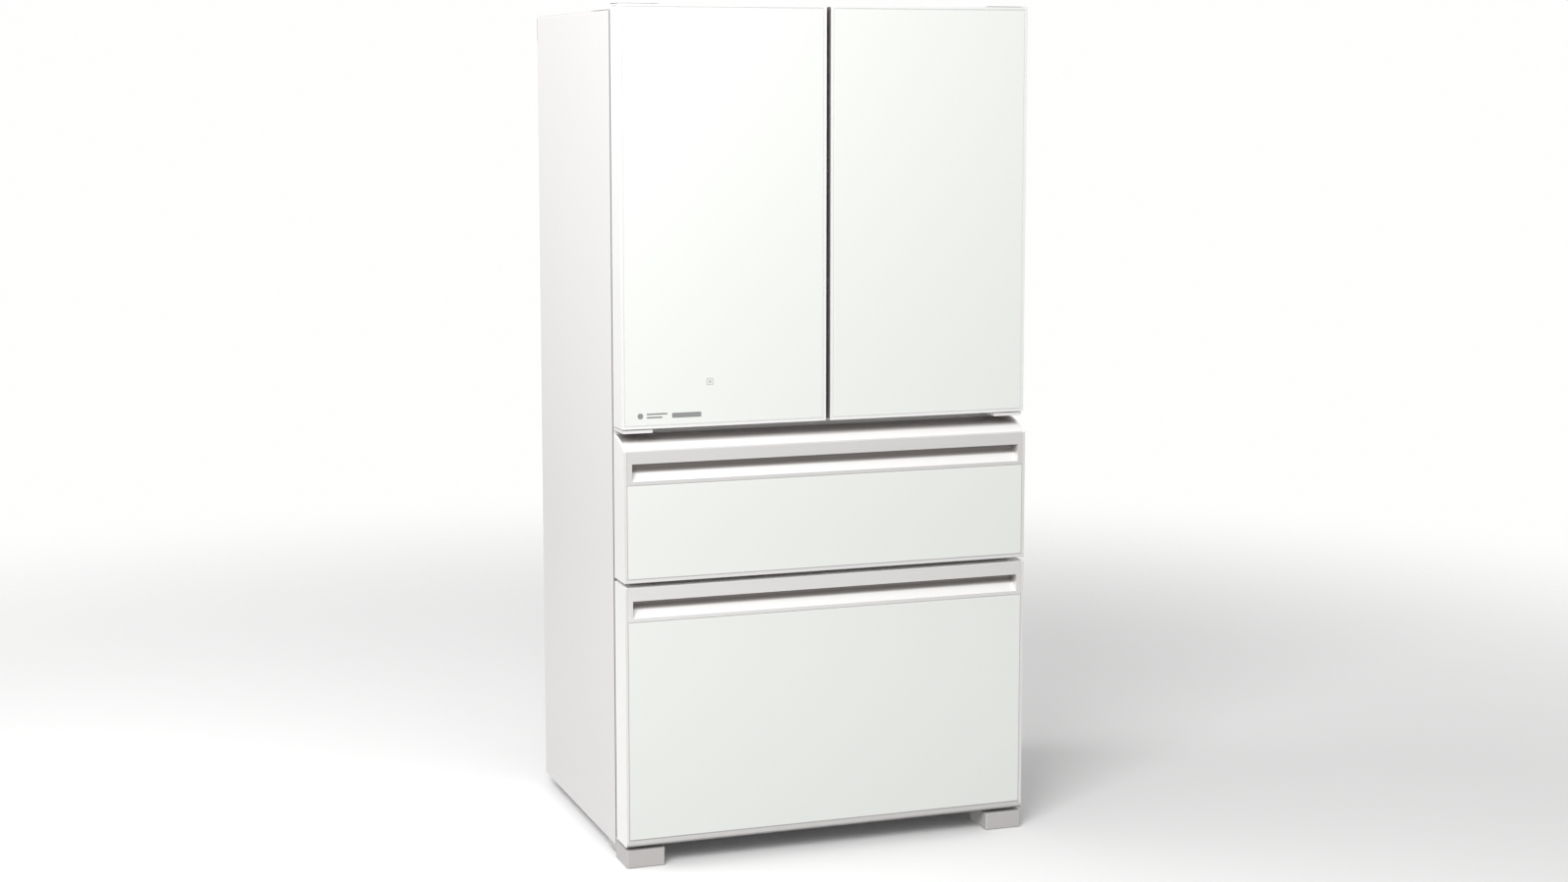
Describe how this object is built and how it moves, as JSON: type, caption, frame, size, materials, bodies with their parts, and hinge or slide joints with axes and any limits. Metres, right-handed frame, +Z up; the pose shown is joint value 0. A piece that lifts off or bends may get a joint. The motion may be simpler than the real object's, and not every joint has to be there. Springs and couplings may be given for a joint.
{
  "type": "french door refrigerator",
  "caption": "Free-standing refrigerator with a pair of white glass doors over full-width glass-fronted drawers that have recessed aluminium grips.",
  "frame": {"origin": "on the floor, below the middle of the overall width and depth", "axes": "+Z up; -Y is the front, where the doors and drawers are; +X is to the right for someone who faces the front"},
  "size_m": [0.91, 0.696, 1.8119],
  "materials": {
    "white_steel": "satin",
    "white_glass": "gloss",
    "white_plastic": "satin",
    "liner_plastic": "gloss",
    "insulated_panel": "gloss",
    "aluminium_trim": "satin",
    "zinc_steel": "satin",
    "grey_plastic": "satin",
    "black_steel": "satin",
    "dark_plastic": "matte",
    "gasket_rubber": "matte",
    "clear_plastic": "polished",
    "clear_glass": "polished",
    "foam": "matte"
  },
  "bodies": {
    "cabinet": {"cabinet_wrap": "white_steel", "back_panel": "zinc_steel", "base_plate": "zinc_steel", "cabinet_foam": "foam", "fridge_liner": "liner_plastic", "drawer_liner": "liner_plastic", "upper_crossbar": "white_steel", "drawer_partition": "insulated_panel", "top_hinge_left": "zinc_steel", "top_hinge_right": "zinc_steel", "hinge_cover_left": "white_plastic", "hinge_cover_right": "white_plastic", "centre_hinge_left": "white_steel", "centre_hinge_right": "white_steel", "mullion_guide": "white_plastic", "air_duct": "liner_plastic", "ceiling_light": "clear_plastic", "shelf_upper": "clear_glass", "shelf_middle": "clear_glass", "chiller_cover": "clear_glass", "compressor": "black_steel", "machine_room_cover": "zinc_steel", "evaporator": "aluminium_trim", "power_gland": "dark_plastic", "foot_cover_left": "grey_plastic", "foot_cover_right": "grey_plastic"},
    "left_door": {"left_door_frame": "white_plastic", "left_door_glass": "white_glass", "left_door_liner": "insulated_panel", "left_door_gasket": "gasket_rubber", "left_bin_upper": "clear_plastic", "left_bin_lower": "clear_plastic"},
    "mullion": {"mullion": "white_plastic"},
    "right_door": {"right_door_frame": "white_plastic", "right_door_glass": "white_glass", "right_door_liner": "insulated_panel", "right_door_gasket": "gasket_rubber", "right_bin_upper": "clear_plastic", "right_bin_lower": "clear_plastic"},
    "middle_drawer": {"middle_drawer_frame": "white_plastic", "middle_drawer_glass": "white_glass", "middle_drawer_handle": "aluminium_trim", "middle_drawer_liner": "insulated_panel", "middle_drawer_gasket": "gasket_rubber", "middle_drawer_carrier": "zinc_steel", "middle_drawer_bin": "clear_plastic"},
    "lower_drawer": {"lower_drawer_frame": "white_plastic", "lower_drawer_glass": "white_glass", "lower_drawer_handle": "aluminium_trim", "lower_drawer_liner": "insulated_panel", "lower_drawer_gasket": "gasket_rubber", "lower_drawer_carrier": "zinc_steel", "lower_drawer_bin": "clear_plastic"},
    "lower_tray": {"lower_drawer_tray": "clear_plastic"},
    "chiller": {"chiller_drawer": "clear_plastic"},
    "fan": {"evaporator_fan": "dark_plastic"},
    "left_foot": {"levelling_foot_left": "dark_plastic"},
    "right_foot": {"levelling_foot_right": "dark_plastic"},
    "left_roller": {"rear_roller_left": "dark_plastic"},
    "right_roller": {"rear_roller_right": "dark_plastic"}
  },
  "joints": [
    {"name": "left_door_swing", "type": "hinge", "parent": "cabinet", "child": "left_door", "pos_m": [-0.44, -0.314, 0.933], "axis": [0, 0, -1], "range_deg": [0, 130]},
    {"name": "right_door_swing", "type": "hinge", "parent": "cabinet", "child": "right_door", "pos_m": [0.44, -0.314, 0.933], "axis": [0, 0, 1], "range_deg": [0, 130]},
    {"name": "mullion_flip", "type": "hinge", "parent": "left_door", "child": "mullion", "pos_m": [-0.031, -0.2445, 0.9555], "axis": [0, 0, 1], "range_deg": [-90, 0]},
    {"name": "middle_drawer_slide", "type": "slide", "parent": "cabinet", "child": "middle_drawer", "axis": [0, -1, 0], "range_m": [0, 0.4]},
    {"name": "lower_drawer_slide", "type": "slide", "parent": "cabinet", "child": "lower_drawer", "axis": [0, -1, 0], "range_m": [0, 0.38]},
    {"name": "lower_tray_slide", "type": "slide", "parent": "lower_drawer", "child": "lower_tray", "axis": [0, 1, 0], "range_m": [0, 0.15]},
    {"name": "chiller_slide", "type": "slide", "parent": "cabinet", "child": "chiller", "axis": [0, -1, 0], "range_m": [0, 0.12]},
    {"name": "evaporator_fan_spin", "type": "hinge", "parent": "cabinet", "child": "fan", "pos_m": [0, 0.2025, 0.4905], "axis": [0, 1, 0], "continuous": true},
    {"name": "left_foot_turn", "type": "hinge", "parent": "cabinet", "child": "left_foot", "pos_m": [-0.413, -0.303, 0], "axis": [0, 0, 1], "continuous": true},
    {"name": "right_foot_turn", "type": "hinge", "parent": "cabinet", "child": "right_foot", "pos_m": [0.413, -0.303, 0], "axis": [0, 0, 1], "continuous": true},
    {"name": "left_roller_turn", "type": "hinge", "parent": "cabinet", "child": "left_roller", "pos_m": [-0.4, 0.288, 0.019], "axis": [1, 0, 0], "continuous": true},
    {"name": "right_roller_turn", "type": "hinge", "parent": "cabinet", "child": "right_roller", "pos_m": [0.4, 0.288, 0.019], "axis": [1, 0, 0], "continuous": true}
  ]
}
